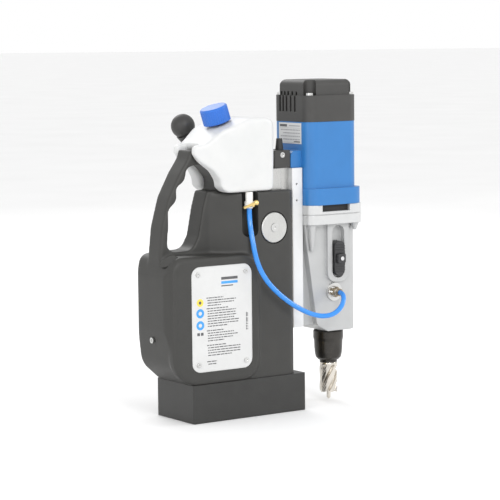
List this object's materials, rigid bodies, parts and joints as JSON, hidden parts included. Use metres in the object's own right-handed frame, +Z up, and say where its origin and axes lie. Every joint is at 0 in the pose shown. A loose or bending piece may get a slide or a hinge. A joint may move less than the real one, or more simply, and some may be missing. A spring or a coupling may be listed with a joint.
{
  "type": "magnetic drill press",
  "caption": "Portable drill press on a magnet base, with a rack-fed drill unit, coolant tank and annular cutter.",
  "frame": {"origin": "centre of the magnet base's underside, the face that holds on the workpiece", "axes": "+Z up along the drill axis, +X from the handle towards the drill, -Y the side with the label plate"},
  "size_m": [0.2972, 0.1403, 0.395],
  "materials": {
    "base_steel": "satin dark paint",
    "copper": "enamelled wire",
    "resin": "matte",
    "stand_grey": "fine texture",
    "plate_white": "satin print",
    "zinc": "zinc plated",
    "brass": "turned",
    "black_plastic": "moulded",
    "panel_black": "powder coat",
    "board_green": "solder mask",
    "tank_plastic": "translucent natural",
    "valve_white": "moulded",
    "hose_blue": "gloss tube",
    "slide_steel": "ground",
    "gear_steel": "hobbed",
    "plate_alloy": "anodised",
    "rubber": "matte",
    "motor_blue": "satin paint",
    "laminations": "stacked",
    "bearing_steel": "polished",
    "cast_alloy": "silver paint",
    "arbor_black": "black oxide",
    "cutter_steel": "ground",
    "spring_steel": "drawn wire",
    "hub_black": "black oxide",
    "lever_steel": "polished",
    "knob_black": "phenolic",
    "selector_black": "moulded",
    "cap_blue": "moulded",
    "switch_red": "moulded",
    "button_green": "moulded"
  },
  "bodies": {
    "stand": {"magnet_housing": "base_steel", "magnet_coil": "copper", "magnet_potting": "resin", "stand_housing": "stand_grey", "label_plate": "plate_white", "plate_screws": "zinc", "guide_rails": "brass", "gib_screws": "zinc", "rear_screw": "zinc", "mains_gland": "black_plastic", "control_panel": "panel_black", "circuit_board": "board_green", "panel_screws": "zinc", "feed_bushes": "brass", "coolant_tank": "tank_plastic", "valve_body": "valve_white", "coolant_hose": "hose_blue"},
    "carriage": {"slide_bar": "slide_steel", "feed_rack": "gear_steel", "slide_plate": "plate_alloy", "top_block": "black_plastic", "block_screw": "zinc", "cable_boot": "rubber", "motor_housing": "motor_blue", "motor_cap": "black_plastic", "cap_screws": "zinc", "field_stator": "laminations", "brush_holders": "brass", "motor_bearings": "bearing_steel", "rating_label": "plate_white", "flange_plate": "cast_alloy", "gearbox_casing": "cast_alloy", "spindle_bearings": "bearing_steel", "coolant_fitting": "zinc"},
    "rotor": {"armature": "laminations", "commutator": "copper", "cooling_fan": "resin"},
    "layshaft": {"intermediate_shaft": "gear_steel"},
    "spindle": {"spindle": "gear_steel", "spindle_gear": "gear_steel", "arbor": "arbor_black", "set_screws": "zinc", "annular_cutter": "cutter_steel", "ejector_spring": "spring_steel"},
    "pin": {"pilot_pin": "cutter_steel"},
    "feed": {"pinion_shaft": "gear_steel", "feed_hub": "hub_black", "feed_levers": "lever_steel", "lever_knobs": "knob_black", "shaft_disc": "slide_steel", "disc_screw": "zinc"},
    "selector": {"gear_selector": "selector_black"},
    "selector_lock": {"selector_button": "selector_black"},
    "valve_handle": {"valve_lever": "brass"},
    "filler_cap": {"tank_cap": "cap_blue"},
    "rocker": {"magnet_switch": "switch_red"},
    "start": {"start_button": "button_green"},
    "stop": {"stop_button": "switch_red"}
  },
  "joints": [
    {"name": "carriage_slide", "type": "slide", "parent": "stand", "child": "carriage", "axis": [0, 0, 1], "range_m": [-0.05, 0.11], "deforming": ["coolant_hose"]},
    {"name": "feed_turn", "type": "hinge", "parent": "stand", "child": "feed", "pos_m": [0.0375, 0, 0.2225], "axis": [0, 1, 0], "range_deg": [-395, 180]},
    {"name": "spindle_spin", "type": "hinge", "parent": "carriage", "child": "spindle", "pos_m": [0.1438, 0, 0.15], "axis": [0, 0, 1], "continuous": true},
    {"name": "layshaft_spin", "type": "hinge", "parent": "carriage", "child": "layshaft", "pos_m": [0.12263, 0.01756, 0.21], "axis": [0, 0, 1], "continuous": true},
    {"name": "rotor_spin", "type": "hinge", "parent": "carriage", "child": "rotor", "pos_m": [0.1266, 0, 0.3], "axis": [0, 0, 1], "continuous": true},
    {"name": "pin_eject", "type": "slide", "parent": "spindle", "child": "pin", "axis": [0, 0, 1], "range_m": [0, 0.022], "stiffness_N_per_m": 300, "springref_m": -0.004, "deforming": ["ejector_spring"]},
    {"name": "gear_shift", "type": "slide", "parent": "carriage", "child": "selector", "axis": [0, 0, 1], "range_m": [0, 0.016]},
    {"name": "shift_lock", "type": "slide", "parent": "selector", "child": "selector_lock", "axis": [0, 1, 0], "range_m": [0, 0.002], "stiffness_N_per_m": 300, "springref_m": -0.001},
    {"name": "valve_turn", "type": "hinge", "parent": "stand", "child": "valve_handle", "pos_m": [0.0052, -0.0335, 0.251], "axis": [0, 1, 0], "range_deg": [0, 90]},
    {"name": "cap_turn", "type": "hinge", "parent": "stand", "child": "filler_cap", "pos_m": [-0.0157, 0, 0.3464], "axis": [-0.309, 0, 0.9511], "range_deg": [0, 720]},
    {"name": "magnet_rocker", "type": "hinge", "parent": "stand", "child": "rocker", "pos_m": [-0.07, 0.036, 0.138], "axis": [1, 0, 0], "range_deg": [0, 14]},
    {"name": "start_press", "type": "slide", "parent": "stand", "child": "start", "axis": [0, -1, 0], "range_m": [0, 0.0025], "stiffness_N_per_m": 300, "springref_m": -0.001},
    {"name": "stop_press", "type": "slide", "parent": "stand", "child": "stop", "axis": [0, -1, 0], "range_m": [0, 0.0025], "stiffness_N_per_m": 300, "springref_m": -0.001}
  ],
  "couplings": [
    {"joint": "feed_turn", "follows": "carriage_slide", "rad_per_m": -62.5},
    {"joint": "layshaft_spin", "follows": "spindle_spin", "ratio": -3.4},
    {"joint": "rotor_spin", "follows": "spindle_spin", "ratio": 11.9}
  ]
}
